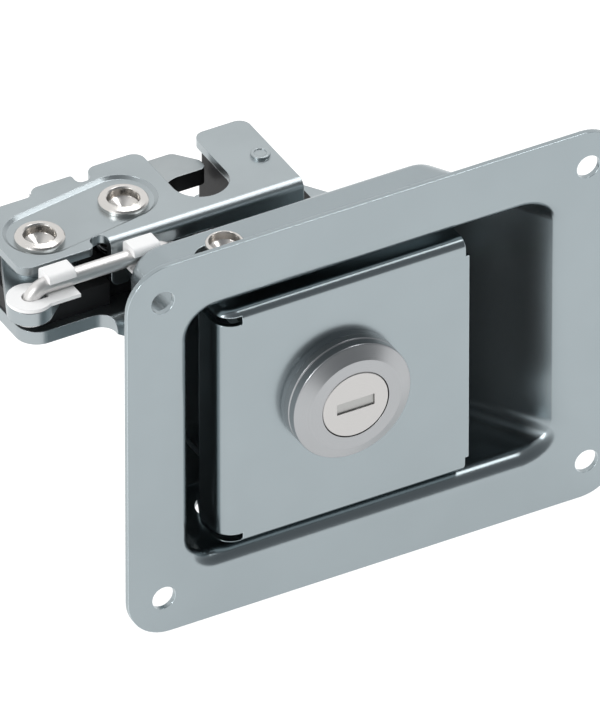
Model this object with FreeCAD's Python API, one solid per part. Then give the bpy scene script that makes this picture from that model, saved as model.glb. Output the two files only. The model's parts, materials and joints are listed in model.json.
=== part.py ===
import FreeCAD, Part
import math
import os

# Slam latch: a drawn pan with a folding paddle and a key lock, and a rotary
# catch behind it that the paddle works through a round rod.
# Frame: X right, Y into the panel, Z up, in millimetres. The origin is the
# middle of the four fixing holes, on the back of the flange.

os.makedirs("parts", exist_ok=True)

# Shared clearances
running_gap = 0.05
seat_gap = 0.2
side_gap = 0.3
edge_break = 0.3

# Pan: one sheet, drawn into a bowl inside a flat flange
sheet = 1.2
flange_width = 118.6
flange_height = 94.0
flange_corner = 10.0
fixing_pitch_x = 101.6
fixing_pitch_z = 76.2
fixing_hole_radius = 2.75
bowl_left = -43.8
bowl_right = 43.6
bowl_half_height = 31.6
bowl_depth = 24.0
right_wall_slope = 34.0
bowl_corner = 5.9
floor_radius = 1.2
lip_radius = 3.8
window_left = -43.5
window_right = -21.5
window_drop = 5.6
window_head = 1.8
window_corner = 2.0

# Paddle: one folded sheet that turns on two hollow pins
pivot_x = -27.0
pivot_from_floor = 8.5
paddle_proud = 0.5
paddle_end_gap = 1.6
paddle_drop = 0.5
paddle_left = -37.3
paddle_right = 22.0
paddle_curl_radius = 4.5
paddle_fold_radius = 2.4
curl_depth = 8.0
curl_slit = 1.9
curl_slit_end = -32.1
ear_notch = 0.85
ear_notch_height = 4.0
ear_side_depth = 7.0
ear_right_depth = 5.5
ear_middle_x = -8.0
ear_middle_depth = 9.0
ear_boss_radius = 4.6

# Hollow pivot pins, a larger entry hole beside each in the bowl's wall
pin_radius = 4.1
pin_bore = 3.45
pin_proud = 2.5
pin_bore_depth = 2.0
pin_cone_depth = 1.6
pin_cone_end = 0.8
pin_shank_radius = 3.0
pin_head_radius = 4.2
pin_head_thickness = 1.0
entry_hole_radius = 4.7
entry_offset_x = -2.5
entry_offset_y = -1.0

# Coil springs
paddle_wire_radius = 0.7
paddle_coil_turns = 4.5
paddle_post_length = 12.0
latch_wire_radius = 0.5
latch_coil_turns = 3.5
coil_space = 0.15

# Key lock in the paddle
lock_x = -8.2
lock_z = 1.0
base_ring_radius = 14.0
base_ring_thickness = 1.8
ring_groove = 0.25
collar_band = 2.2
collar_bevel = 1.6
collar_face_radius = 10.85
collar_rounding = 0.4
barrel_radius = 10.5
barrel_flat = 9.3
barrel_length = 12.5
nut_across_flats = 25.0
nut_thickness = 4.0
plug_radius = 7.85
plug_gap = 0.15
plug_edge = 0.2
plug_tail = 4.0
slot_length = 9.0
slot_width = 2.7
slot_depth = 7.0
shutter_recess = 0.4
shutter_thickness = 1.2
cam_thickness = 2.4
cam_hub_radius = 7.0
cam_tip_radius = 5.0
cam_reach = 17.0
cam_screw_radius = 4.2
cam_screw_head = 2.4
cam_screw_shank = 2.0
cam_screw_length = 6.0
screw_slot_width = 1.0
screw_slot_depth = 1.1

# Catch: two plates on two hollow rivets
plate_left = -66.5
plate_drop = 0.6
plate_thickness = 2.0
top_right = 0.9
far_left = 54.4
far_tab = 57.0
far_notch = 53.9
far_right = 57.9
tab_start = -51.7
tab_end = -41.1
second_tab = -37.6
mouth_left = -24.4
mouth_width = 12.7
mouth_bottom = 42.9
top_corner = 2.6
notch_corner = 1.35
tab_corner = 0.5
notch_left = -49.0
flange_left = -45.1
relief_depth = 3.5
relief_corner = 1.6
flange_tab_drop = 11.4
flange_tab_right = -40.6
flange_window_drop = 4.45
flange_foot_left = -20.0
recess_radius = 8.0
recess_back = 1.4
recess_short = 1.0
recess_depth = 0.6
recess_slope = 0.8
stake_x = -2.6
stake_y = 44.5
stake_radius = 2.15
stake_proud = 0.7
stake_rounding = 0.25
stake_dimple = 1.35
stake_dimple_depth = 0.2

# Bracket plate under the catch, folded down against the back of the bowl
bracket_drop = 15.64
bracket_thickness = 3.2
bracket_near = 29.5
bracket_neck_left = -47.2
bracket_corner = 5.0
bracket_fillet = 3.5
bracket_right = 15.5
bracket_shoulder = 42.9
bracket_far_right = 5.4
bracket_far = 57.5
bracket_foot = -10.0
bracket_foot_left = -42.5
bracket_foot_taper = 3.0
bracket_foot_corner = 6.0
bracket_rivet_left = -36.0
bracket_rivet_right = -3.0
bracket_rivet_top = 6.0
bracket_rivet_bottom = -5.0
bracket_rivet_radius = 2.0
bracket_rivet_head = 3.6
bracket_rivet_head_height = 1.4

# Hollow rivets of the catch
rotor_x = -35.7
rotor_y = 43.9
pawl_x = -57.4
pawl_y = 40.65
rivet_flange_radius = 5.4
rivet_proud = 1.0
rivet_rim_edge = 0.35
rivet_rim_fall = 0.3
rivet_shank_radius = 4.5
rivet_bore = 3.43
rivet_bore_depth = 2.2
rivet_cone_depth = 1.2
rivet_small_bore = 0.9
rivet_foot_radius = 5.6
rivet_foot_height = 1.2

# Rotor: the hook that holds the striker
rotor_thickness = 4.0
rotor_hub_radius = 8.3
rotor_tooth_radius = 10.0
claw_near = 49.3
claw_tip = -12.8
claw_shoulder = 52.4
claw_far_tip = -16.9
claw_far = 57.4
claw_back = -30.0
claw_back_corner = 9.0
slot_near = 37.9
slot_end_centre = -19.5
jaw_tip = -17.0
jaw_near = 34.2
tooth_slack = 1.6

# Pawl lever: strut, boss and trip arm in one plate
lever_drop = 4.9
lever_thickness = 3.2
lever_boss_radius = 8.2
lever_end_radius = 4.9
strut_outer = 3.4
strut_inner = 1.4
contact_radius = 10.0
hub_radius = 7.6
hub_length = 4.5
spacer_radius = 7.7

# Moulded lining between the plates, with the block beside the mouth
lining_thickness = 5.74
lining_near = 31.6
lining_step = -45.6
lining_right = 6.0
lining_inset = 0.3
block_near = 36.5
block_far = 55.5
block_right = 0.6
hub_pocket = 8.1
spring_pocket = 7.4
pocket_floor_thickness = 2.04

# Rod, its two clips and the arm that pulls it
rod_radius = 1.8
rod_y = 27.6
rod_rise = 2.8
rod_left = -66.8
rod_right = -33.2
rod_bend = 4.0
rod_foot_drop = 5.5
rod_to_catch = 4.2
clip_ring_radius = 5.0
clip_ring_thickness = 0.8
clip_neck_radius = 2.5
clip_collar_radius = 3.6
clip_collar_height = 0.9
clip_wall = 1.1
clip_lip_near = 2.3
clip_lip_low = 1.3
clip_lip_high = 3.1
clip_lip_corner = 1.2
clip_band_start = 3.6
clip_band_length = 6.3
clip_tongue_near = 4.2
clip_ring_wall = 0.6
loose_hole_gap = 0.6
arm_thickness = 3.0
arm_step = 0.8
arm_end_radius = 4.6
arm_left = -31.5
arm_right = -19.5
arm_leg_drop = 16.1
arm_leg_corner = 1.5

# Places that follow from the sizes above
front_y = -sheet
pivot_y = bowl_depth - pivot_from_floor
paddle_half_height = bowl_half_height - paddle_end_gap
paddle_front = front_y - paddle_proud
paddle_back = paddle_front + sheet
floor_back = bowl_depth + sheet
roof_outer = bowl_half_height + sheet
top_near = rod_y + rod_to_catch
plate_top = bowl_half_height - plate_drop
plate_under = plate_top - plate_thickness
flange_tab_bottom = plate_top - flange_tab_drop
flange_window_top = plate_top - flange_window_drop
bracket_top = plate_top - bracket_drop
lever_top = plate_top - lever_drop
rod_z = lever_top + rod_rise
rod_foot = lever_top - rod_foot_drop
arm_top = lever_top - arm_step
arm_leg_bottom = lever_top - arm_leg_drop
window_bottom = lever_top - window_drop
window_top = arm_top + window_head
lining_top = bracket_top + lining_thickness
pocket_floor = bracket_top + pocket_floor_thickness
flange_inner = top_near + plate_thickness
bracket_under = bracket_top - bracket_thickness
recess_floor = plate_top - recess_depth
recess_under = plate_under - recess_depth
rotor_top = recess_under - side_gap / 2
rotor_under = rotor_top - rotor_thickness
lever_under = lever_top - lever_thickness
mouth_radius = mouth_width / 2
mouth_right = mouth_left + mouth_width
mouth_middle = mouth_left + mouth_radius
collar_back = paddle_front - base_ring_thickness
collar_front = collar_back - collar_band - collar_bevel
barrel_end = paddle_back + barrel_length


def vec(x, y, z):
    return FreeCAD.Vector(x, y, z)


def outline(points):
    """Closed wire in the XY plane. Each point is x, y and its corner radius."""
    arcs = []
    count = len(points)
    for index in range(count):
        before = vec(points[index - 1][0], points[index - 1][1], 0)
        corner = vec(points[index][0], points[index][1], 0)
        after = vec(points[(index + 1) % count][0], points[(index + 1) % count][1], 0)
        radius = points[index][2]
        back = (before - corner).normalize()
        ahead = (after - corner).normalize()
        if radius <= 0:
            arcs.append((corner, None, corner))
            continue
        half = back.getAngle(ahead) / 2
        reach = radius / math.tan(half)
        inward = (back + ahead).normalize()
        middle = corner + inward * (radius / math.sin(half) - radius)
        arcs.append((corner + back * reach, middle, corner + ahead * reach))
    edges = []
    for index in range(count):
        start, middle, end = arcs[index]
        if middle is not None:
            edges.append(Part.Arc(start, middle, end).toShape())
        following = arcs[(index + 1) % count][0]
        if (following - end).Length > 1e-6:
            edges.append(Part.LineSegment(end, following).toShape())
    return Part.Wire(edges)


def slab(points, low, high):
    """Plate in the XY plane between two heights."""
    face = Part.Face(outline(points))
    face.translate(vec(0, 0, low))
    return face.extrude(vec(0, 0, high - low))


def wall(points, near, far):
    """Plate in the XZ plane between two depths. Points are x, z and radius."""
    shape = slab(points, -far, -near)
    shape.rotate(vec(0, 0, 0), vec(1, 0, 0), 90)
    return shape


def box(x0, x1, y0, y1, z0, z1):
    return Part.makeBox(x1 - x0, y1 - y0, z1 - z0, vec(x0, y0, z0))


def post(x, y, z0, z1, radius):
    return Part.makeCylinder(radius, z1 - z0, vec(x, y, z0))


def dowel(x, z, y0, y1, radius):
    return Part.makeCylinder(radius, y1 - y0, vec(x, y0, z), vec(0, 1, 0))


def rectangle(x0, x1, y0, y1, radius):
    return [(x0, y0, radius), (x1, y0, radius), (x1, y1, radius), (x0, y1, radius)]


def polar(x, y, radius, degrees):
    angle = math.radians(degrees)
    return (x + radius * math.cos(angle), y + radius * math.sin(angle))


def join(shapes):
    whole = shapes[0]
    for shape in shapes[1:]:
        whole = whole.fuse(shape)
    return whole.removeSplitter()


def turned(profile, x, y):
    """Solid of revolution about the Z line through x, y. Profile is radius, height."""
    points = [vec(x + radius, y, height) for radius, height in profile]
    ring = Part.Face(Part.makePolygon(points + [points[0]]))
    return ring.revolve(vec(x, y, 0), vec(0, 0, 1), 360)


def turned_lock(profile):
    """Solid of revolution about the lock's axis. Profile is radius, depth."""
    points = [vec(lock_x + radius, depth, lock_z) for radius, depth in profile]
    ring = Part.Face(Part.makePolygon(points + [points[0]]))
    return ring.revolve(vec(lock_x, 0, lock_z), vec(0, 1, 0), 360)


def edges_at(shape, test):
    """Edges whose end points all pass the test."""
    return [edge for edge in shape.Edges if all(test(v.Point) for v in edge.Vertexes)]


def near(value, target):
    return abs(value - target) < 1e-3


def save(name, shape):
    solids = shape.Solids
    if not shape.isValid() or not solids:
        raise ValueError(name + " is not a sound solid")
    part = solids[0] if len(solids) == 1 else Part.makeCompound(solids)
    part.exportStep("parts/" + name + ".step")
    print(name, len(solids), round(part.Volume, 1))


def bowl_body(extra):
    """Inside of the bowl, grown by the sheet's thickness for its outside."""
    slope = math.tan(math.radians(right_wall_slope))
    grow_right = extra / math.cos(math.radians(right_wall_slope))
    back = bowl_depth + extra
    left = bowl_left - extra
    half = bowl_half_height + extra
    right_front = bowl_right + grow_right + (sheet - front_y) * slope / 2
    right_back = bowl_right + grow_right - (back - sheet) * slope
    corners = [(left, front_y, 0), (right_front, front_y, 0), (right_back, back, 0), (left, back, 0)]
    body = slab(corners, -half, half)
    sides = [
        edge
        for edge in body.Edges
        if near(abs(edge.Vertexes[0].Z), half)
        and near(edge.Vertexes[0].Z, edge.Vertexes[1].Z)
        and not near(edge.Vertexes[0].Y, edge.Vertexes[1].Y)
    ]
    body = body.makeFillet(bowl_corner + extra, sides)
    rim = edges_at(body, lambda point: near(point.y, back))
    return body.makeFillet(floor_radius + extra, rim)


def mouth_edges(shape, depth):
    """Edges of the bowl's mouth at one depth, without the flange's own outline."""
    half_width = flange_width / 2 - flange_corner
    half_height = flange_height / 2 - flange_corner
    return edges_at(
        shape,
        lambda point: near(point.y, depth) and abs(point.x) < half_width and abs(point.z) < half_height,
    )


def make_pan():
    half_width = flange_width / 2
    half_height = flange_height / 2
    frame = rectangle(-half_width, half_width, -half_height, half_height, flange_corner)
    inside = bowl_body(0)
    pan = join([wall(frame, front_y, 0), bowl_body(sheet)]).cut(inside)
    pan = pan.makeFillet(lip_radius, mouth_edges(pan, front_y))
    pan = pan.makeFillet(lip_radius - sheet, mouth_edges(pan, 0))
    for x in (-fixing_pitch_x / 2, fixing_pitch_x / 2):
        for z in (-fixing_pitch_z / 2, fixing_pitch_z / 2):
            pan = pan.cut(dowel(x, z, front_y - 1, 1, fixing_hole_radius))
    window = rectangle(window_left, window_right, window_bottom, window_top, window_corner)
    pan = pan.cut(wall(window, bowl_depth - floor_radius, floor_back + 1))
    pan = pan.cut(post(pivot_x, pivot_y, -roof_outer - 1, roof_outer + 1, pin_radius))
    entry_x = pivot_x + entry_offset_x
    entry_y = pivot_y + entry_offset_y
    pan = pan.cut(post(entry_x, entry_y, -roof_outer - 1, roof_outer + 1, entry_hole_radius))
    for x in (bracket_rivet_left, bracket_rivet_right):
        for z in (bracket_rivet_top, bracket_rivet_bottom):
            pan = pan.cut(dowel(x, z, bowl_depth - 1, floor_back + 1, bracket_rivet_radius))
    return pan


def make_paddle():
    deep = pivot_y + ear_boss_radius
    half = paddle_half_height
    outer = slab(
        [
            (paddle_left, paddle_front, paddle_curl_radius),
            (paddle_right, paddle_front, 0),
            (paddle_right, deep, 0),
            (paddle_left, deep, 0),
        ],
        -half,
        half,
    )
    bends = [
        edge
        for edge in edges_at(outer, lambda point: point.y < paddle_front + paddle_curl_radius + running_gap)
        if near(edge.BoundBox.ZLength, 0) and edge.BoundBox.XLength > paddle_curl_radius / 2
    ]
    outer = outer.makeFillet(paddle_fold_radius, bends)
    hollow = slab(
        [
            (paddle_left + sheet, paddle_back, paddle_curl_radius - sheet),
            (paddle_right + 1, paddle_back, 0),
            (paddle_right + 1, deep + 1, 0),
            (paddle_left + sheet, deep + 1, 0),
        ],
        -half + sheet,
        half - sheet,
    )
    shell = outer.cut(hollow)
    curl_half = half - sheet - curl_slit
    middle = box(paddle_left - 1, paddle_right + 1, paddle_front - 1, curl_depth, -curl_half, curl_half)
    face = box(
        curl_slit_end,
        paddle_right + 1,
        paddle_front - 1,
        paddle_back + paddle_fold_radius,
        -half - 1,
        half + 1,
    )
    boss = ear_boss_radius
    ear = [
        (paddle_left, paddle_front - 1, 0),
        (paddle_right, paddle_front - 1, 0),
        (paddle_right, ear_right_depth, 2),
        (ear_middle_x, ear_middle_depth, 8),
        (pivot_x + boss, pivot_y + boss, boss),
        (pivot_x - boss, pivot_y + boss, boss),
        (paddle_left, ear_side_depth, 3),
    ]
    ears = slab(ear, half - sheet, half + 1)
    ears = ears.fuse(slab(ear, -half - 1, -half + sheet))
    paddle = shell.common(middle.fuse(face).fuse(ears))
    for side in (-1, 1):
        notch_low = min(side * (half - ear_notch_height), side * (half + 1))
        notch_high = max(side * (half - ear_notch_height), side * (half + 1))
        paddle = paddle.cut(
            box(paddle_right - ear_notch, paddle_right + 1, paddle_front - 1, deep, notch_low, notch_high)
        )
    paddle.translate(vec(0, 0, -paddle_drop))
    paddle = paddle.cut(post(pivot_x, pivot_y, -half - 1, half + 1, pin_shank_radius + running_gap))
    hole = barrel_section(running_gap, paddle_front - 1, paddle_back + 1)
    return paddle.cut(hole).removeSplitter()


def barrel_section(extra, start, end):
    """Round barrel with two flats, grown by a gap."""
    round_part = dowel(lock_x, lock_z, start, end, barrel_radius + extra)
    reach = barrel_radius + 2
    flat = barrel_flat + extra
    return round_part.common(box(lock_x - reach, lock_x + reach, start, end, lock_z - flat, lock_z + flat))


def make_pin(side):
    """Hollow pin: proud tube, shoulder on the ear, shank through it and a head inside.

    The lower one goes on as a post for the spring.
    """
    top = roof_outer + pin_proud
    cone_top = top - pin_bore_depth
    cone_bottom = cone_top - pin_cone_depth
    ear_face = paddle_half_height - side * paddle_drop
    ear_top = ear_face + seat_gap
    head_top = ear_face - sheet - seat_gap
    head_low = head_top - pin_head_thickness
    profile = [
        (0, head_low),
        (pin_head_radius, head_low),
        (pin_head_radius, head_top),
        (pin_shank_radius, head_top),
        (pin_shank_radius, ear_top),
        (pin_radius, ear_top),
        (pin_radius, top - edge_break),
        (pin_radius - edge_break, top),
        (pin_bore, top),
        (pin_bore, cone_top),
        (pin_cone_end, cone_bottom),
        (0, cone_bottom),
    ]
    pin = turned(profile, pivot_x, pivot_y)
    if side > 0:
        return pin
    spring_post = post(pivot_x, pivot_y, head_low - paddle_post_length, head_low, pin_shank_radius)
    return join([pin, spring_post]).mirror(vec(0, 0, 0), vec(0, 0, 1))


def coil(x, y, low, coil_radius, wire_radius, turns, legs):
    """Close-wound torsion spring with a straight leg at each end, both along Y."""
    pitch = wire_radius * 2 + coil_space
    helix = Part.makeLongHelix(pitch, pitch * turns, coil_radius, 0)
    start_leg, end_leg = legs
    first = helix.Edges[0].firstVertex().Point
    last = helix.Edges[-1].lastVertex().Point
    edges = [Part.LineSegment(first + vec(0, start_leg, 0), first).toShape()]
    edges += helix.Edges
    edges.append(Part.LineSegment(last, last + vec(0, end_leg, 0)).toShape())
    path = Part.Wire(edges)
    tip = first + vec(0, start_leg, 0)
    section = Part.Wire(Part.makeCircle(wire_radius, tip, vec(0, 1, 0)))
    spring = path.makePipeShell([section], True, True)
    spring.translate(vec(x, y, low))
    return spring


def make_lock_body():
    body = turned_lock(
        [
            (plug_radius + plug_gap, collar_front),
            (collar_face_radius, collar_front),
            (base_ring_radius, collar_front + collar_bevel),
            (base_ring_radius, collar_back - ring_groove),
            (base_ring_radius - ring_groove, collar_back),
            (plug_radius + plug_gap, collar_back),
        ]
    )
    bevel_edge = edges_at(body, lambda point: near(point.y, collar_front + collar_bevel))
    circles = [edge for edge in bevel_edge if edge.BoundBox.YLength < running_gap]
    body = body.makeFillet(collar_rounding, circles)
    barrel = barrel_section(0, collar_back, barrel_end)
    barrel = barrel.cut(dowel(lock_x, lock_z, collar_back - 1, barrel_end + 1, plug_radius + plug_gap))
    return join([body, barrel])


def make_base_ring():
    ring = turned_lock(
        [
            (0, collar_back),
            (base_ring_radius - ring_groove, collar_back),
            (base_ring_radius, collar_back + ring_groove),
            (base_ring_radius, paddle_front),
            (0, paddle_front),
        ]
    )
    return ring.cut(barrel_section(0, collar_back - 1, paddle_front + 1))


def make_nut():
    size = nut_across_flats / 2 / math.cos(math.radians(30))
    corners = []
    for index in range(6):
        x, z = polar(lock_x, lock_z, size, 60 * index)
        corners.append((x, z, 0.6))
    nut = wall(corners, paddle_back, paddle_back + nut_thickness)
    return nut.cut(barrel_section(0, paddle_back - 1, paddle_back + nut_thickness + 1))


def key_slot(extra, start, end):
    half_length = slot_length / 2 - extra
    half_width = slot_width / 2 - extra
    shape = rectangle(
        lock_x - half_length, lock_x + half_length, lock_z - half_width, lock_z + half_width, 0.2
    )
    return wall(shape, start, end)


def make_plug():
    plug = dowel(lock_x, lock_z, collar_front, barrel_end, plug_radius)
    rim = edges_at(plug, lambda point: near(point.y, collar_front))
    plug = plug.makeChamfer(plug_edge, rim)
    tail = rectangle(lock_x - plug_tail, lock_x + plug_tail, lock_z - plug_tail, lock_z + plug_tail, 0.5)
    plug = join([plug, wall(tail, barrel_end, barrel_end + seat_gap + cam_thickness)])
    plug = plug.cut(key_slot(0, collar_front - 1, collar_front + slot_depth))
    tail_end = barrel_end + seat_gap + cam_thickness
    return plug.cut(dowel(lock_x, lock_z, tail_end - cam_screw_length, tail_end + 1, cam_screw_shank))


def make_cam():
    front = barrel_end + seat_gap
    back = front + cam_thickness
    hub = dowel(lock_x, lock_z, front, back, cam_hub_radius)
    tip = dowel(lock_x + cam_reach, lock_z, front, back, cam_tip_radius)
    blade = wall(
        [
            (lock_x, lock_z - cam_tip_radius, 0),
            (lock_x + cam_reach, lock_z - cam_tip_radius, 0),
            (lock_x + cam_reach, lock_z + cam_tip_radius, 0),
            (lock_x, lock_z + cam_tip_radius, 0),
        ],
        front,
        back,
    )
    tail = rectangle(lock_x - plug_tail, lock_x + plug_tail, lock_z - plug_tail, lock_z + plug_tail, 0.5)
    return join([hub, tip, blade]).cut(wall(tail, front - 1, back + 1))


def make_cam_screw():
    seat = barrel_end + seat_gap + cam_thickness
    shank = dowel(lock_x, lock_z, seat - cam_screw_length, seat, cam_screw_shank)
    head = dowel(lock_x, lock_z, seat, seat + cam_screw_head, cam_screw_radius)
    rim = edges_at(head, lambda point: near(point.y, seat + cam_screw_head))
    head = head.makeFillet(0.8, rim)
    screw = join([shank, head])
    reach = cam_screw_radius + 1
    half_slot = screw_slot_width / 2
    top = seat + cam_screw_head
    slot = box(-reach, reach, top - screw_slot_depth, top + 1, -half_slot, half_slot)
    slot.translate(vec(lock_x, 0, lock_z))
    return screw.cut(slot)


def top_outline():
    return [
        (plate_left, top_near, top_corner),
        (notch_left, top_near, notch_corner),
        (notch_left, top_near + relief_depth, relief_corner),
        (flange_left, top_near + relief_depth, relief_corner),
        (flange_left, top_near, 0),
        (top_right, top_near, 0),
        (top_right, far_right, top_corner),
        (mouth_right, far_right, top_corner),
        (mouth_right, mouth_bottom, 0),
        (mouth_left, mouth_bottom, 0),
        (mouth_left, far_right, top_corner),
        (second_tab, far_right, top_corner),
        (second_tab, far_notch, notch_corner),
        (tab_end, far_notch, notch_corner),
        (tab_end, far_tab, tab_corner),
        (tab_start, far_tab, top_corner),
        (tab_start, far_left, notch_corner),
        (plate_left, far_left, top_corner),
    ]


def stadium(radius, low, high):
    """Long round-ended shape about both hollow rivets, a little behind their middles."""
    right = vec(rotor_x, rotor_y + recess_back, 0)
    left = vec(pawl_x + recess_short, pawl_y + recess_back, 0)
    ends = post(right.x, right.y, low, high, radius).fuse(post(left.x, left.y, low, high, radius))
    along = right - left
    side = vec(-along.y, along.x, 0).normalize() * radius
    corners = [
        (left.x + side.x, left.y + side.y, 0),
        (left.x - side.x, left.y - side.y, 0),
        (right.x - side.x, right.y - side.y, 0),
        (right.x + side.x, right.y + side.y, 0),
    ]
    return ends.fuse(slab(corners, low, high)).removeSplitter()


def make_top_plate():
    plate = slab(top_outline(), plate_under, plate_top)
    flange_face = wall(
        [
            (flange_left, plate_top, 0),
            (flange_left, flange_tab_bottom, 1.8),
            (flange_tab_right, flange_tab_bottom, 0.8),
            (flange_tab_right, flange_window_top, 0.8),
            (flange_foot_left, flange_window_top, 0.8),
            (flange_foot_left, bracket_top, 0),
            (top_right, bracket_top, 0),
            (top_right, plate_top, 0),
        ],
        top_near,
        flange_inner,
    )
    body = join([plate, flange_face])
    fold = [
        edge
        for edge in edges_at(body, lambda point: near(point.y, top_near) and near(point.z, plate_top))
        if edge.BoundBox.XMin > flange_left - 0.01
    ]
    body = body.makeFillet(plate_thickness, fold)
    body = body.cut(post(mouth_middle, mouth_bottom, plate_under - 1, plate_top + 1, mouth_radius))
    pressed = stadium(recess_radius, recess_floor, plate_top + 1)
    rim = edges_at(pressed, lambda point: near(point.z, recess_floor))
    pressed = pressed.makeChamfer(recess_depth - running_gap, recess_slope, rim)
    under = stadium(recess_radius, recess_under, plate_under)
    under = under.common(slab(top_outline(), recess_under, plate_under))
    body = join([body, under]).cut(pressed)
    for x, y in ((rotor_x, rotor_y), (pawl_x, pawl_y)):
        body = body.cut(post(x, y, recess_under - 1, plate_top + 1, rivet_shank_radius))
    stake = post(stake_x, stake_y, plate_under, plate_top + stake_proud, stake_radius)
    stake = stake.makeFillet(stake_rounding, edges_at(stake, lambda point: point.z > plate_top))
    stake_top = plate_top + stake_proud
    stake = stake.cut(post(stake_x, stake_y, stake_top - stake_dimple_depth, stake_top, stake_dimple))
    return join([body, stake])


def make_bracket():
    plate = slab(
        [
            (plate_left, bracket_near, bracket_corner),
            (bracket_neck_left, bracket_near, bracket_fillet),
            (bracket_neck_left, floor_back, 0),
            (bracket_right, floor_back, 0),
            (bracket_right, bracket_shoulder, 3),
            (bracket_far_right, bracket_far, 3),
            (mouth_right, bracket_far, 1),
            (mouth_right, mouth_bottom, 0),
            (mouth_left, mouth_bottom, 0),
            (mouth_left, bracket_far, 1),
            (tab_start, bracket_far, 3),
            (tab_start, far_left, 1),
            (plate_left, far_left, 4),
        ],
        bracket_under,
        bracket_top,
    )
    plate = plate.cut(post(mouth_middle, mouth_bottom, bracket_under - 1, bracket_top + 1, mouth_radius))
    foot = wall(
        [
            (bracket_neck_left, bracket_top, 0),
            (bracket_neck_left, bracket_under, 0),
            (bracket_foot_left, bracket_under - bracket_foot_taper, 2),
            (bracket_foot_left, bracket_foot, bracket_foot_corner),
            (bracket_right, bracket_foot, bracket_foot_corner),
            (bracket_right, bracket_top, 0),
        ],
        floor_back,
        floor_back + bracket_thickness,
    )
    body = join([plate, foot])
    fold = edges_at(body, lambda point: near(point.y, floor_back) and near(point.z, bracket_top))
    body = body.makeFillet(bracket_thickness, fold)
    foot_back = floor_back + bracket_thickness
    for x, y in ((rotor_x, rotor_y), (pawl_x, pawl_y)):
        body = body.cut(post(x, y, bracket_under - 1, bracket_top + 1, rivet_shank_radius))
    for x in (bracket_rivet_left, bracket_rivet_right):
        for z in (bracket_rivet_top, bracket_rivet_bottom):
            body = body.cut(dowel(x, z, floor_back - 1, foot_back + 1, bracket_rivet_radius))
    return body


def make_bracket_rivets():
    rivets = []
    back = floor_back + bracket_thickness
    for x in (bracket_rivet_left, bracket_rivet_right):
        for z in (bracket_rivet_top, bracket_rivet_bottom):
            shank = dowel(x, z, bowl_depth, back, bracket_rivet_radius)
            inner = dowel(x, z, bowl_depth - bracket_rivet_head_height, bowl_depth, bracket_rivet_head)
            inner = inner.makeFillet(1, edges_at(inner, lambda point: point.y < bowl_depth - 1))
            outer = dowel(x, z, back, back + bracket_rivet_head_height, bracket_rivet_head)
            outer = outer.makeFillet(1, edges_at(outer, lambda point: point.y > back + 1))
            rivets.append(join([inner, shank, outer]))
    return Part.makeCompound(rivets)


def make_catch_rivet(x, y):
    """Hollow rivet: flange on the top plate, shank through both plates, foot underneath."""
    top = plate_top + rivet_proud
    foot_low = bracket_under - rivet_foot_height
    cone_top = top - rivet_bore_depth
    return turned(
        [
            (rivet_small_bore, foot_low),
            (rivet_foot_radius - 0.4, foot_low),
            (rivet_foot_radius, foot_low + 0.4),
            (rivet_foot_radius, bracket_under),
            (rivet_shank_radius, bracket_under),
            (rivet_shank_radius, recess_floor),
            (rivet_flange_radius, recess_floor),
            (rivet_flange_radius, top - rivet_rim_fall - rivet_rim_edge),
            (rivet_flange_radius - rivet_rim_edge, top - rivet_rim_fall),
            (rivet_bore + edge_break, top),
            (rivet_bore, top - edge_break),
            (rivet_bore, cone_top),
            (rivet_small_bore, cone_top - rivet_cone_depth),
        ],
        x,
        y,
    )


# Line of push from the pawl's pivot to the rotor's tooth
pivot_gap = math.hypot(rotor_x - pawl_x, rotor_y - pawl_y)
pivot_heading = math.degrees(math.atan2(rotor_y - pawl_y, rotor_x - pawl_x))
push_heading = pivot_heading + math.degrees(math.asin(contact_radius / pivot_gap))
push_length = math.sqrt(pivot_gap**2 - contact_radius**2)
tooth_heading = push_heading + 90 - math.degrees(tooth_slack / contact_radius)


def make_rotor():
    tooth_top = polar(rotor_x, rotor_y, rotor_tooth_radius, tooth_heading)
    tooth_root = polar(rotor_x, rotor_y, rotor_hub_radius - 0.4, tooth_heading)
    claw = slab(
        [
            (rotor_x, rotor_y, 0),
            (slot_end_centre, jaw_near + 1.2, 0),
            (slot_end_centre, claw_near, 0),
            (claw_tip, claw_near, 1.5),
            (claw_tip, claw_shoulder, 1.5),
            (claw_far_tip, claw_far, 2),
            (claw_back, claw_far, claw_back_corner),
            (tooth_top[0], tooth_top[1], 0),
            (tooth_root[0], tooth_root[1], 0),
        ],
        rotor_under,
        rotor_top,
    )
    jaw = slab(
        [
            (rotor_x, rotor_y, 0),
            (rotor_x, jaw_near + 1.5, 0),
            (rotor_x + 4, jaw_near, 2),
            (jaw_tip, jaw_near, 1.2),
            (jaw_tip, slot_near, 1.6),
            (slot_end_centre, slot_near, 0),
        ],
        rotor_under,
        rotor_top,
    )
    hub = post(rotor_x, rotor_y, rotor_under, rotor_top, rotor_hub_radius)
    slot_radius = (claw_near - slot_near) / 2
    slot_middle = (claw_near + slot_near) / 2
    body = join([hub, claw, jaw])
    body = body.cut(post(slot_end_centre, slot_middle, rotor_under - 1, rotor_top + 1, slot_radius))
    body = body.cut(
        box(slot_end_centre, 0, slot_near, claw_near, rotor_under - 1, rotor_top + 1)
    )
    body = body.cut(post(rotor_x, rotor_y, rotor_under - 1, rotor_top + 1, rivet_shank_radius + running_gap))
    return body.removeSplitter()


def strut_point(along, across):
    """Place on the strut: along its push line from the pivot, and to its outer side."""
    heading = math.radians(push_heading)
    x = pawl_x + along * math.cos(heading) - across * math.sin(heading)
    y = pawl_y + along * math.sin(heading) + across * math.cos(heading)
    return (x, y)


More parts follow.
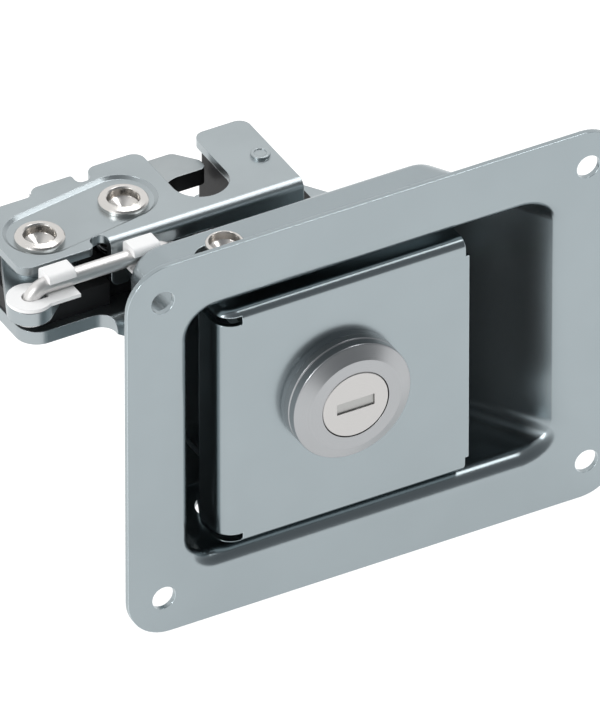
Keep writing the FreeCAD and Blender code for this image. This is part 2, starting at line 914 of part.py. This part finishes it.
def make_pawl_lever():
    boss = post(pawl_x, pawl_y, lever_under, lever_top, lever_boss_radius)
    end = post(rod_left, rod_y, lever_under, lever_top, lever_end_radius)
    arm = vec(rod_left - pawl_x, rod_y - pawl_y, 0)
    length = arm.Length
    heading = math.degrees(math.atan2(arm.y, arm.x))
    lean = math.degrees(math.acos((lever_boss_radius - lever_end_radius) / length))
    sides = []
    for sign in (1, -1):
        at_boss = polar(pawl_x, pawl_y, lever_boss_radius, heading + sign * lean)
        at_end = polar(rod_left, rod_y, lever_end_radius, heading + sign * lean)
        sides.append((at_boss, at_end))
    corners = [sides[0][0], sides[0][1], sides[1][1], sides[1][0]]
    web = slab([(x, y, 0) for x, y in corners], lever_under, lever_top)
    strut_corners = [
        (strut_point(0, -strut_inner), 0),
        (strut_point(push_length, -strut_inner), 0.2),
        (strut_point(push_length, strut_outer), 1.5),
        (strut_point(0, strut_outer + 2), 0),
    ]
    strut = slab([(x, y, radius) for (x, y), radius in strut_corners], lever_under, lever_top)
    lever = join([boss, end, web, strut])
    lever = lever.cut(post(pawl_x, pawl_y, lever_under - 1, lever_top + 1, rivet_shank_radius + running_gap))
    hole = clip_neck_radius + loose_hole_gap
    return lever.cut(post(rod_left, rod_y, lever_under - 1, lever_top + 1, hole))


def make_ring(x, y, low, high, outer, inner):
    return post(x, y, low, high, outer).cut(post(x, y, low - 1, high + 1, inner))


def make_lining():
    near_edge = lining_near
    behind = flange_inner + lining_inset
    slab_shape = slab(
        [
            (plate_left + lining_inset, near_edge, 3),
            (lining_step, near_edge, 0),
            (lining_step, behind, 0),
            (lining_right, behind, 2),
            (lining_right, block_far - 4, 3),
            (lining_right - 6, block_far, 3),
            (mouth_right, block_far, 1),
            (mouth_right, mouth_bottom, 0),
            (mouth_left, mouth_bottom, 0),
            (mouth_left, block_far, 1),
            (tab_start, block_far, 3),
            (tab_start, far_left - lining_inset, 1),
            (plate_left + lining_inset, far_left - lining_inset, 3),
        ],
        bracket_top,
        lining_top,
    )
    slab_shape = slab_shape.cut(
        post(mouth_middle, mouth_bottom, bracket_top - 1, plate_under, mouth_radius)
    )
    block = slab(
        [
            (mouth_right, block_near, 5),
            (block_right, block_near, 1),
            (block_right, block_far, 2),
            (mouth_right, block_far, 2.5),
        ],
        bracket_top,
        plate_under - running_gap,
    )
    lining = join([slab_shape, block])
    lining = lining.cut(post(pawl_x, pawl_y, bracket_top - 1, lining_top + 1, hub_pocket))
    lining = lining.cut(post(rotor_x, rotor_y, pocket_floor, lining_top + 1, spring_pocket))
    return lining.cut(post(rotor_x, rotor_y, bracket_top - 1, pocket_floor + 1, rivet_shank_radius))


def make_rod():
    left_foot = vec(rod_left, rod_y, rod_foot)
    right_foot = vec(rod_right, rod_y, rod_foot)
    bend_low = rod_z - rod_bend
    shift = rod_bend * (1 - math.sqrt(0.5))
    left_bend = Part.Arc(
        vec(rod_left, rod_y, bend_low),
        vec(rod_left + shift, rod_y, rod_z - shift),
        vec(rod_left + rod_bend, rod_y, rod_z),
    )
    right_bend = Part.Arc(
        vec(rod_right - rod_bend, rod_y, rod_z),
        vec(rod_right - shift, rod_y, rod_z - shift),
        vec(rod_right, rod_y, bend_low),
    )
    lines = [
        Part.LineSegment(left_foot, vec(rod_left, rod_y, bend_low)),
        left_bend,
        Part.LineSegment(vec(rod_left + rod_bend, rod_y, rod_z), vec(rod_right - rod_bend, rod_y, rod_z)),
        right_bend,
        Part.LineSegment(vec(rod_right, rod_y, bend_low), right_foot),
    ]
    wire = Part.Wire([line.toShape() for line in lines])
    section = Part.Wire(Part.makeCircle(rod_radius, left_foot, vec(0, 0, 1)))
    return wire.makePipeShell([section], True, False)


def make_clip(rod, carrier_top):
    """Left clip: ring and snap collar round the leg, tongue under the rod and a hook over it."""
    ring_underside = carrier_top + seat_gap
    ring_top = ring_underside + clip_ring_thickness
    collar_top = carrier_top - lever_thickness - seat_gap
    neck_low = collar_top - clip_collar_height
    ring = post(rod_left, rod_y, ring_underside, ring_top, clip_ring_radius)
    neck = post(rod_left, rod_y, neck_low, ring_underside, clip_neck_radius)
    collar = post(rod_left, rod_y, neck_low, collar_top, clip_collar_radius)
    band_start = rod_left + clip_band_start
    band_end = band_start + clip_band_length
    behind = rod_y + rod_radius + clip_wall
    lip_top = rod_z + clip_lip_high
    tongue = box(rod_left, band_end, rod_y - clip_tongue_near, behind, ring_underside, ring_top)
    back_wall = box(band_start, band_end, rod_y, behind, ring_underside, lip_top)
    lip = box(band_start, band_end, rod_y - clip_lip_near, behind, rod_z + clip_lip_low, lip_top)
    hook = join([back_wall, lip])
    top = edges_at(hook, lambda point: near(point.z, lip_top))
    long_edges = [edge for edge in top if edge.BoundBox.YLength < running_gap]
    hook = hook.makeFillet(clip_lip_corner, long_edges)
    clip = join([ring, neck, collar, tongue, hook])
    clip = clip.cut(post(rod_left, rod_y, neck_low - 1, ring_top + 1, rod_radius))
    throat = box(rod_left, band_start, rod_y - rod_radius, rod_y + rod_radius, ring_underside - 1, rod_z)
    clip = clip.cut(throat.common(post(rod_left, rod_y, neck_low, rod_z, clip_ring_radius - clip_ring_wall)))
    return clip.cut(rod)


def make_pull_arm():
    arm_under = arm_top - arm_thickness
    plan = slab(
        [
            (arm_left, paddle_back, 0),
            (arm_right, paddle_back, 0),
            (arm_right, pivot_y - 4, 4),
            (rod_right + arm_end_radius, rod_y - 3, 4),
            (rod_right + arm_end_radius, rod_y + arm_end_radius, arm_end_radius - 0.01),
            (rod_right - arm_end_radius, rod_y + arm_end_radius, arm_end_radius - 0.01),
            (rod_right - arm_end_radius, pivot_y + 2, 3),
            (arm_left, pivot_y - 5, 3),
        ],
        arm_under,
        arm_top,
    )
    leg = wall(
        [
            (arm_left, arm_leg_bottom, arm_leg_corner),
            (arm_right, arm_leg_bottom, arm_leg_corner),
            (arm_right, arm_top, 0),
            (arm_left, arm_top, 0),
        ],
        paddle_back,
        paddle_back + arm_thickness,
    )
    arm = join([plan, leg])
    fold = edges_at(arm, lambda point: near(point.y, paddle_back) and near(point.z, arm_top))
    arm = arm.makeFillet(arm_thickness * 0.8, fold)
    hole = clip_neck_radius + running_gap
    return arm.cut(post(rod_right, rod_y, arm_under - 1, arm_top + 1, hole))


save("pan", make_pan())
save("paddle", make_paddle())
save("pull_arm", make_pull_arm())
save("upper_pivot_pin", make_pin(1))
save("lower_pivot_pin", make_pin(-1))

paddle_coil_radius = pin_shank_radius + side_gap + paddle_wire_radius
lower_head = paddle_half_height + paddle_drop - sheet - seat_gap - pin_head_thickness
paddle_coil_low = seat_gap + paddle_wire_radius - lower_head
save(
    "paddle_spring",
    coil(
        pivot_x,
        pivot_y,
        paddle_coil_low,
        paddle_coil_radius,
        paddle_wire_radius,
        paddle_coil_turns,
        (paddle_back + seat_gap - pivot_y, bowl_depth - running_gap - pivot_y),
    ),
)

save("lock_body", make_lock_body())
save("lock_base_ring", make_base_ring())
save("lock_nut", make_nut())
save("lock_plug", make_plug())
shutter_front = collar_front + shutter_recess
save("key_shutter", key_slot(running_gap, shutter_front, shutter_front + shutter_thickness))
save("lock_cam", make_cam())
save("cam_screw", make_cam_screw())

save("top_plate", make_top_plate())
save("bracket_plate", make_bracket())
save("bracket_rivets", make_bracket_rivets())
save("rotor_rivet", make_catch_rivet(rotor_x, rotor_y))
save("pawl_rivet", make_catch_rivet(pawl_x, pawl_y))
save("rotor", make_rotor())
save("pawl_lever", make_pawl_lever())
hub_bore = rivet_shank_radius + running_gap
save("pawl_hub", make_ring(pawl_x, pawl_y, lever_under - hub_length, lever_under, hub_radius, hub_bore))
spacer_top = recess_under - side_gap / 2
save("pawl_spacer", make_ring(pawl_x, pawl_y, lever_top, spacer_top, spacer_radius, hub_bore))
save("inner_lining", make_lining())
latch_coil_radius = rivet_shank_radius + side_gap + latch_wire_radius
save(
    "rotor_spring",
    coil(
        rotor_x,
        rotor_y,
        pocket_floor + seat_gap + latch_wire_radius,
        latch_coil_radius,
        latch_wire_radius,
        latch_coil_turns,
        (-3.0, 3.0),
    ),
)

rod = make_rod()
save("pull_rod", rod)
save("left_rod_clip", make_clip(rod, lever_top))
rod_middle = (rod_left + rod_right) / 2
save("right_rod_clip", make_clip(rod, arm_top).mirror(vec(rod_middle, 0, 0), vec(1, 0, 0)))
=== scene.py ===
# %% [markdown]
# # A slam latch, dressed for the camera
# The frame is the measured model: every plate, pin and rivet is already in its
# place, in metres, and moves with its own body. This lesson leaves those shapes
# alone and gives them light, a floor, a camera and finishes made from nodes.

# %% Load the frame
import json

import bpy
from mathutils import Matrix, Vector


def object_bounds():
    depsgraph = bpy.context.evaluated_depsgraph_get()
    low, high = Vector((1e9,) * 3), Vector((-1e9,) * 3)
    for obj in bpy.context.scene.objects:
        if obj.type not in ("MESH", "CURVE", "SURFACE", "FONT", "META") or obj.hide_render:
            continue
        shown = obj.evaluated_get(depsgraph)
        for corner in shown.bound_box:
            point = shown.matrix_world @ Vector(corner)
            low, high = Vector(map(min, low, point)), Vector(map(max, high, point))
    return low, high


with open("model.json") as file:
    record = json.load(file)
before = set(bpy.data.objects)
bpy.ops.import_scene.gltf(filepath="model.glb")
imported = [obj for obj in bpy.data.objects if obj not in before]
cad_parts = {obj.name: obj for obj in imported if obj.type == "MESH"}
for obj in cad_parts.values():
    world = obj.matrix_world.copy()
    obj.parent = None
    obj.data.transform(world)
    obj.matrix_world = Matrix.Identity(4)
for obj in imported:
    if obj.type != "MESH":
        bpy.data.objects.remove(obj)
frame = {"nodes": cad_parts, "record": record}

cad_box = [list(corner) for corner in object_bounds()]
nodes = frame["nodes"]
print("pieces in the frame:", len(nodes))

# %% [markdown]
# ## The camera
# The latch was seen from the left and from above, through a very long lens, so
# that its edges stay parallel. A camera far away with a long lens does the same
# and can still be moved closer or round the part. Its place is the middle of the
# picture, moved back along the line of sight.

# %% Camera
MM = 0.001
picture_centre = Vector((-12.65, 8.75, 3.96)) * MM
to_camera = Vector((-0.3910, -0.7111, 0.5844)).normalized()
camera_right = Vector((0.8763, -0.4818, 0.0)).normalized()
camera_up = to_camera.cross(camera_right)
camera_distance = 6.0
seen_height = 151.0 * MM
film_width = 36.0

camera_data = bpy.data.cameras.new("studio_camera")
camera_data.sensor_width = film_width
camera_data.lens = film_width * camera_distance / seen_height
camera = bpy.data.objects.new("studio_camera", camera_data)
bpy.context.scene.collection.objects.link(camera)
turn = Matrix((camera_right, camera_up, to_camera)).transposed().to_4x4()
camera.matrix_world = Matrix.Translation(picture_centre + to_camera * camera_distance) @ turn
bpy.context.scene.camera = camera
print("lens", round(camera_data.lens), "mm")

# %% [markdown]
# ## Sums for shaders
# A finish is a small piece of arithmetic on patterns. Adding every Math node by
# hand hides the idea, so a thin wrapper lets plain Python sums build the nodes:
# `1 - mask * 0.3` adds two of them. Every other node comes from one method that
# takes its settings first and then the values of its sockets.
#
# The Bevel node rounds the edges for the light alone. How far it turns the
# surface, as 1 less a cosine, shows where the edges are. Noise is laid in layers,
# each finer than the last.


# %% Shader helper
edge_samples = 6
edge_turn = (0.01, 0.12)
soft_steps = (0.3, 0.7)
few_layers = 3.0
more_layers = 4.0


class Flow:
    """A number that changes over the surface, in a node tree."""

    def __init__(self, tree, socket):
        self.tree = tree
        self.socket = socket

    def sum_of(self, operation, first, second):
        return self.tree.node("ShaderNodeMath", {"operation": operation}, {0: first, 1: second})

    def __add__(self, other):
        return self.sum_of("ADD", self, other)

    def __radd__(self, other):
        return self.sum_of("ADD", other, self)

    def __sub__(self, other):
        return self.sum_of("SUBTRACT", self, other)

    def __rsub__(self, other):
        return self.sum_of("SUBTRACT", other, self)

    def __mul__(self, other):
        return self.sum_of("MULTIPLY", self, other)

    def __rmul__(self, other):
        return self.sum_of("MULTIPLY", other, self)

    def swing(self, amount):
        """A pattern about its middle, from minus to plus half the amount."""
        return (self - 0.5) * amount

    def above(self, low, high):
        """0 below low, 1 over high, smooth between."""
        settings = {"interpolation_type": "SMOOTHSTEP"}
        values = {"Value": self, "From Min": low, "From Max": high}
        return self.tree.node("ShaderNodeMapRange", settings, values)


class Tree:
    """Adds nodes to one material or world."""

    def __init__(self, node_tree):
        self.nodes = node_tree.nodes
        self.links = node_tree.links

    def node(self, kind, settings=None, values=None, out=0):
        """A new node; its settings, then a number or a Flow for each socket."""
        made = self.nodes.new(kind)
        for name, value in (settings or {}).items():
            if name == "stops":
                self.set_stops(made.color_ramp, value)
            else:
                setattr(made, name, value)
        for name, value in (values or {}).items():
            if isinstance(value, Flow):
                self.links.new(value.socket, made.inputs[name])
            else:
                made.inputs[name].default_value = value
        return Flow(self, made.outputs[out]) if len(made.outputs) else None

    @staticmethod
    def set_stops(ramp, stops):
        while len(ramp.elements) < len(stops):
            ramp.elements.new(0.5)
        for element, (place, colour) in zip(ramp.elements, stops):
            element.position = place
            element.color = tuple(colour) + (1.0,)

    def mix(self, amount, first, second):
        """Colour between first and second."""
        first, second = (c if isinstance(c, Flow) else tuple(c) + (1.0,) for c in (first, second))
        values = {0: amount, 6: first, 7: second}
        return self.node("ShaderNodeMix", {"data_type": "RGBA"}, values, out=2)

    def noise(self, place, scale, detail, roughness=0.5):
        values = {"Vector": place, "Scale": scale, "Detail": detail, "Roughness": roughness}
        return self.node("ShaderNodeTexNoise", None, values)

    def vector(self, operation, first, second=None, out=0):
        """Sum on two vectors; out is "Value" where the answer is a number."""
        values = {0: first} if second is None else {0: first, 1: second}
        return self.node("ShaderNodeVectorMath", {"operation": operation}, values, out)

    def millimetres(self):
        """Place on the part in millimetres."""
        place = self.node("ShaderNodeTexCoord", out="Object")
        return self.vector("MULTIPLY", place, (1 / MM, 1 / MM, 1 / MM))

    def rounded(self, radius):
        """Normal rounded at the edges by a radius in mm, and a mask that is 1 on them."""
        soft = self.node("ShaderNodeBevel", {"samples": edge_samples}, {"Radius": radius * MM})
        plain = self.node("ShaderNodeNewGeometry", out="Normal")
        facing = self.vector("DOT_PRODUCT", soft, plain, "Value")
        return soft, (1 - facing).above(*edge_turn)

    def bump(self, pattern, height, normal, strength=0.5):
        """Normal that follows a pattern as high as height in mm."""
        values = {"Strength": strength, "Distance": height * MM, "Height": pattern, "Normal": normal}
        return self.node("ShaderNodeBump", None, values)

    def surface(self, values):
        """The shader itself, joined to the output."""
        shader = self.node("ShaderNodeBsdfPrincipled", None, values)
        self.node("ShaderNodeOutputMaterial", None, {"Surface": shader})


def blank(name):
    """New material and the tree to build it in."""
    material = bpy.data.materials.new(name)
    material.use_nodes = True
    material.node_tree.nodes.clear()
    return material, Tree(material.node_tree)


def times(colour, factor):
    """Colour made lighter or darker."""
    return tuple(min(part * factor, 1.0) for part in colour)


print("shader helper ready")

# %% [markdown]
# ## The stage
# The part stands on its lower edge on a pale floor. Zinc is a soft mirror: what
# we see on it is the room. The front faces reflect the floor and the upper faces
# the sky behind, so both are pale. The folds and the rolled lip of the recess
# reflect what is high in front of them, so a dark patch there draws their lines.

# %% Floor and sky
floor_gap = 0.05 * MM
floor_half = 20.0
floor_greys = ((0.23, 0.23, 0.23), (0.27, 0.27, 0.27))
floor_speckle = 60.0
floor_glow = 0.95
dark_way = (0.25, -0.72, 0.64)
sky_stops = [
    (0.00, (1.00, 1.00, 1.00)),
    (0.30, (0.95, 0.96, 0.97)),
    (0.72, (0.28, 0.29, 0.30)),
    (1.00, (0.18, 0.19, 0.20)),
]

floor_height = min(corner[2] for corner in cad_box) - floor_gap
corners = [(-1, -1), (1, -1), (1, 1), (-1, 1)]
floor_mesh = bpy.data.meshes.new("floor")
floor_mesh.from_pydata(
    [(x * floor_half, y * floor_half, floor_height) for x, y in corners], [], [(0, 1, 2, 3)]
)
floor = bpy.data.objects.new("floor", floor_mesh)
bpy.context.scene.collection.objects.link(floor)

floor_paint, tree = blank("floor_paint")
speckle = tree.noise(tree.node("ShaderNodeTexCoord", out="Object"), floor_speckle, few_layers)
tree.surface(
    {
        "Base Color": tree.mix(speckle, *floor_greys),
        "Roughness": 0.9,
        "Specular IOR Level": 0.0,
        "Emission Color": (1.0, 1.0, 1.0, 1.0),
        "Emission Strength": floor_glow,
    }
)
floor_mesh.materials.append(floor_paint)

world = bpy.data.worlds.new("studio")
world.use_nodes = True
world.node_tree.nodes.clear()
tree = Tree(world.node_tree)
direction = tree.node("ShaderNodeTexCoord", out="Generated")
toward_dark = tree.vector("DOT_PRODUCT", direction, dark_way, "Value")
sky = tree.node("ShaderNodeValToRGB", {"stops": sky_stops}, {0: toward_dark})
glow = tree.node("ShaderNodeBackground", None, {"Color": sky, "Strength": 1.0})
tree.node("ShaderNodeOutputWorld", None, {"Surface": glow})
bpy.context.scene.world = world
bpy.context.scene.view_settings.view_transform = "Standard"
print("floor at", round(floor_height / MM, 2), "mm")

# %% [markdown]
# ## Soft boxes
# Two area lights add direction: a square one high at the left front and a long
# strip overhead. The strip shows as a thin bright line wherever the sheet turns
# from facing us to facing up.


# %% Lights
def soft_box(name, place, width, depth, power):
    """Area light that faces the middle of the part, its width level."""
    light = bpy.data.lights.new(name, "AREA")
    light.shape = "RECTANGLE"
    light.size = width
    light.size_y = depth
    light.energy = power
    lamp = bpy.data.objects.new(name, light)
    bpy.context.scene.collection.objects.link(lamp)
    lamp.location = place
    lamp.rotation_euler = (picture_centre - Vector(place)).to_track_quat("-Z", "Y").to_euler()
    print(name, power, "W")


soft_box("left_soft_box", place=(-1.3, -0.3, 0.9), width=0.5, depth=0.5, power=6.0)
soft_box("overhead_strip", place=(0.50, 0.17, 1.13), width=1.2, depth=0.3, power=4.5)


# %% [markdown]
# ## What every metal shares
# Three things keep rolled metal from looking like paint: a fine grain, slow
# clouds in the plating, and edges that catch the light because no cut edge is
# perfectly sharp. The edges are also painted lighter, partly as worn bright metal
# and partly as a painted highlight. Grains and clouds are counted per millimetre.


# %% Common metal
clouds_per_mm = 0.035
layer_weight = 0.6
plated_edge = 0.25
# How far the edges are painted lighter: worn metal and a painted highlight.
wear_and_highlight_share = 0.7
edge_polish = 0.3
# Painted shade inside a recess: how much metal is given up and roughness added.
shade_metal_drop = 0.18
shade_rough_gain = 0.03


def plated(name, base, rough, grain, clouds, bump, grains_per_mm=6.0, wear_and_highlight=1.15, painted_shade_depths=None):
    """Zinc, nickel or steel: clouds in the colour, grain in gloss and height, bright edges.

    Edges are painted lighter, partly worn bright metal and partly a painted highlight. Between two
    depths in mm the shine gives way to a duller, less metallic grey: painted shade for the inside of
    a recess.
    """
    material, tree = blank(name)
    place = tree.millimetres()
    cloud = tree.noise(place, clouds_per_mm, more_layers, layer_weight)
    speck = tree.noise(place, grains_per_mm, few_layers, layer_weight)
    soft, mask = tree.rounded(plated_edge)
    clouded = tree.mix(cloud.above(*soft_steps), times(base, 1 - clouds), times(base, 1 + clouds))
    gloss = rough + speck.swing(2 * grain) + cloud.swing(grain) - mask * (rough * edge_polish)
    metal = 1.0
    # Painted shade: between the two depths the zinc turns duller and less metallic.
    if painted_shade_depths:
        depth = tree.node("ShaderNodeSeparateXYZ", None, {0: place}, "Y")
        painted_shade = depth.above(*painted_shade_depths)
        metal = 1.0 - painted_shade * shade_metal_drop
        gloss = gloss + painted_shade * shade_rough_gain
    tree.surface(
        {
            # Edges painted lighter: worn bright metal and a painted highlight.
            "Base Color": tree.mix(mask * wear_and_highlight_share, clouded, times(base, wear_and_highlight)),
            "Metallic": metal,
            "Roughness": gloss,
            "Normal": tree.bump(speck, bump, soft),
        }
    )
    print(name, "finished")
    return material


# %% [markdown]
# ## Zinc on the pan and the paddle
# Bright zinc over smooth drawn sheet is a cool blue grey with hardly any grain.
# From half a millimetre behind the flange, in the bowl and on the paddle's
# folded sides, the zinc gets a painted shade: it turns from shine to a duller,
# less metallic grey that stands in for the shade inside the recess. The plates
# that carry the catch are pressed from hot rolled strip, so their zinc is greyer
# and a little sandy.

# %% Zinc
zinc_sheet = plated(
    "zinc_sheet",
    (0.338, 0.386, 0.405),
    0.22,
    grain=0.015,
    clouds=0.02,
    bump=0.001,
    # Edges painted much lighter: worn metal and a painted highlight along the sheet's edges.
    wear_and_highlight=2.2,
    # Painted shade: duller grey from 0.5 to 14 mm behind the flange, inside the recess.
    painted_shade_depths=(0.5, 14.0),
)
zinc_plate = plated(
    "zinc_plate", (0.375, 0.415, 0.43), 0.30, grain=0.04, clouds=0.04, bump=0.003, grains_per_mm=3.5
)

# %% [markdown]
# ## Turned and drawn parts
# Rivets and pins are bright nickel. The rod is satin wire, and the springs keep
# the darker skin of hardened wire.

# %% Nickel, rod and wire
nickel = plated("nickel", (0.66, 0.64, 0.615), 0.22, grain=0.03, clouds=0.04, bump=0.002)
bright_rod = plated("bright_rod", (0.74, 0.73, 0.72), 0.40, grain=0.03, clouds=0.03, bump=0.002)
spring_steel = plated("spring_steel", (0.30, 0.31, 0.32), 0.28, grain=0.05, clouds=0.06, bump=0.003)

# %% [markdown]
# ## The lock's collar and plug
# Both were turned on a lathe. The tool leaves rings about the axis that are too
# fine to count but make the metal satin, so the grain here follows the distance
# from the lock's axis instead of the place itself.

# %% Turned satin metal
lock_axis = (-8.2, 0.0, 1.0)
rings_per_mm = 6.0
ring_weight = 0.7
ring_tones = (0.94, 1.05)
tool_grains_per_mm = 5.0
tool_clouds_per_mm = 0.1
turned_edge = 0.15
# The edges are painted lighter: a painted highlight.
turned_highlight_share = 0.6
turned_highlight_lift = 1.25
turned_bump = 0.4
ring_gloss = 0.12
grain_gloss = 0.06
cloud_gloss = 0.05


def turned(name, base, rough, ring_depth):
    """Metal with faint rings about the lock's axis, as deep as ring_depth in mm."""
    material, tree = blank(name)
    place = tree.millimetres()
    across = tree.vector("MULTIPLY", tree.vector("SUBTRACT", place, lock_axis), (1, 0, 1))
    distance = tree.vector("LENGTH", across, out="Value")
    ring_place = tree.node("ShaderNodeCombineXYZ", None, {"X": distance * rings_per_mm})
    rings = tree.noise(ring_place, 1.0, more_layers, ring_weight)
    speck = tree.noise(place, tool_grains_per_mm, few_layers)
    cloud = tree.noise(place, tool_clouds_per_mm, few_layers)
    soft, mask = tree.rounded(turned_edge)
    ringed = tree.mix(rings.above(*soft_steps), *(times(base, tone) for tone in ring_tones))
    gloss = rough + rings.swing(ring_gloss) + speck.swing(grain_gloss) + cloud.swing(cloud_gloss)
    tree.surface(
        {
            # Edges painted lighter, a painted highlight.
            "Base Color": tree.mix(mask * turned_highlight_share, ringed, times(base, turned_highlight_lift)),
            "Metallic": 1.0,
            "Roughness": gloss,
            "Normal": tree.bump(rings, ring_depth, soft, turned_bump),
        }
    )
    print(name, "finished")
    return material


satin_collar = turned("satin_collar", (0.41, 0.42, 0.43), 0.30, ring_depth=0.006)
plug_metal = turned("plug_metal", (0.56, 0.55, 0.54), 0.36, ring_depth=0.004)
shutter_metal = turned("shutter_metal", (0.44, 0.44, 0.43), 0.42, ring_depth=0.002)


# %% [markdown]
# ## Plastics
# The clips are white nylon, slightly waxy; the lining between the plates is
# black and finely sparked by its mould. Both get a faint orange-peel bump.


# %% Nylon and black moulding
skins_per_mm = 2.2
skin_weight = 0.6
tones_per_mm = 0.12
moulded_edge = 0.2
# The edges are painted paler still: a painted highlight.
moulded_highlight_share = 0.5
skin_gloss = 0.12


def moulded(name, base, rough, peel, tone_and_highlight_lift, shine):
    """Plastic with a skin of bumps as high as peel in mm, paler in random clouds and paler still on
    the edges, a painted highlight.
    """
    material, tree = blank(name)
    place = tree.millimetres()
    skin = tree.noise(place, skins_per_mm, more_layers, skin_weight)
    tone = tree.noise(place, tones_per_mm, few_layers)
    soft, mask = tree.rounded(moulded_edge)
    clouded = tree.mix(tone.above(*soft_steps), base, times(base, tone_and_highlight_lift))
    tree.surface(
        {
            # Edges painted paler, a painted highlight.
            "Base Color": tree.mix(mask * moulded_highlight_share, clouded, times(base, tone_and_highlight_lift * tone_and_highlight_lift)),
            "Roughness": rough + skin.swing(skin_gloss),
            "Specular IOR Level": shine,
            "Normal": tree.bump(skin, peel, soft),
        }
    )
    print(name, "finished")
    return material


white_nylon = moulded("white_nylon", (0.95, 0.95, 0.945), 0.42, peel=0.01, tone_and_highlight_lift=1.03, shine=0.5)
black_moulding = moulded(
    "black_moulding", (0.010, 0.010, 0.011), 0.5, peel=0.012, tone_and_highlight_lift=1.5, shine=0.25
)

# %% [markdown]
# ## The rotor
# The hook is a steel plate with black plastic moulded round its rim, so that it
# shuts quietly. One finish serves both: where the surface looks up or down it is
# zinc, and where it looks sideways it is plastic.

# %% Rotor
steel_greys = ((0.34, 0.37, 0.38), (0.38, 0.41, 0.42))
rim_black = (0.012, 0.012, 0.013)
rotor_grains_per_mm = 4.0
rotor_clouds_per_mm = 0.08
rotor_rough = 0.34
rotor_grain = 0.1
rotor_bump = 0.006
flat_steps = (0.5, 0.8)

rotor_finish, tree = blank("rotor_steel")
place = tree.millimetres()
speck = tree.noise(place, rotor_grains_per_mm, few_layers)
cloud = tree.noise(place, rotor_clouds_per_mm, few_layers)
soft, mask = tree.rounded(plated_edge)
facing = tree.node("ShaderNodeTexCoord", out="Normal")
upward = tree.node("ShaderNodeSeparateXYZ", None, {0: facing}, "Z")
flat = (upward * upward).above(*flat_steps)
steel = tree.mix(cloud.above(*soft_steps), *steel_greys)
tree.surface(
    {
        "Base Color": tree.mix(flat, rim_black, steel),
        "Metallic": flat,
        "Roughness": rotor_rough + speck.swing(rotor_grain),
        "Normal": tree.bump(speck, rotor_bump, soft),
    }
)
print("rotor_steel finished")

# %% [markdown]
# ## Giving out the finishes
# The record names a material slot for each piece. One table joins those slots to
# the finishes, and each piece of the frame takes its own. The shutter shares the
# plug's slot but is duller than the plug, so it gets its finish by name.

# %% Assign
finishes = {
    "zinc_sheet": zinc_sheet,
    "zinc_plate": zinc_plate,
    "nickel": nickel,
    "spring_steel": spring_steel,
    "black_moulding": black_moulding,
    "satin_collar": satin_collar,
    "plug_metal": plug_metal,
    "bright_rod": bright_rod,
    "white_nylon": white_nylon,
    "rotor_steel": rotor_finish,
}
own_finish = {"key_shutter": shutter_metal}
pieces = frame["record"]["subparts"]
for piece in pieces:
    materials = nodes[piece["node"]].data.materials
    materials.clear()
    materials.append(own_finish.get(piece["node"], finishes[piece["material_slot"]]))
print("finished pieces:", len(pieces))
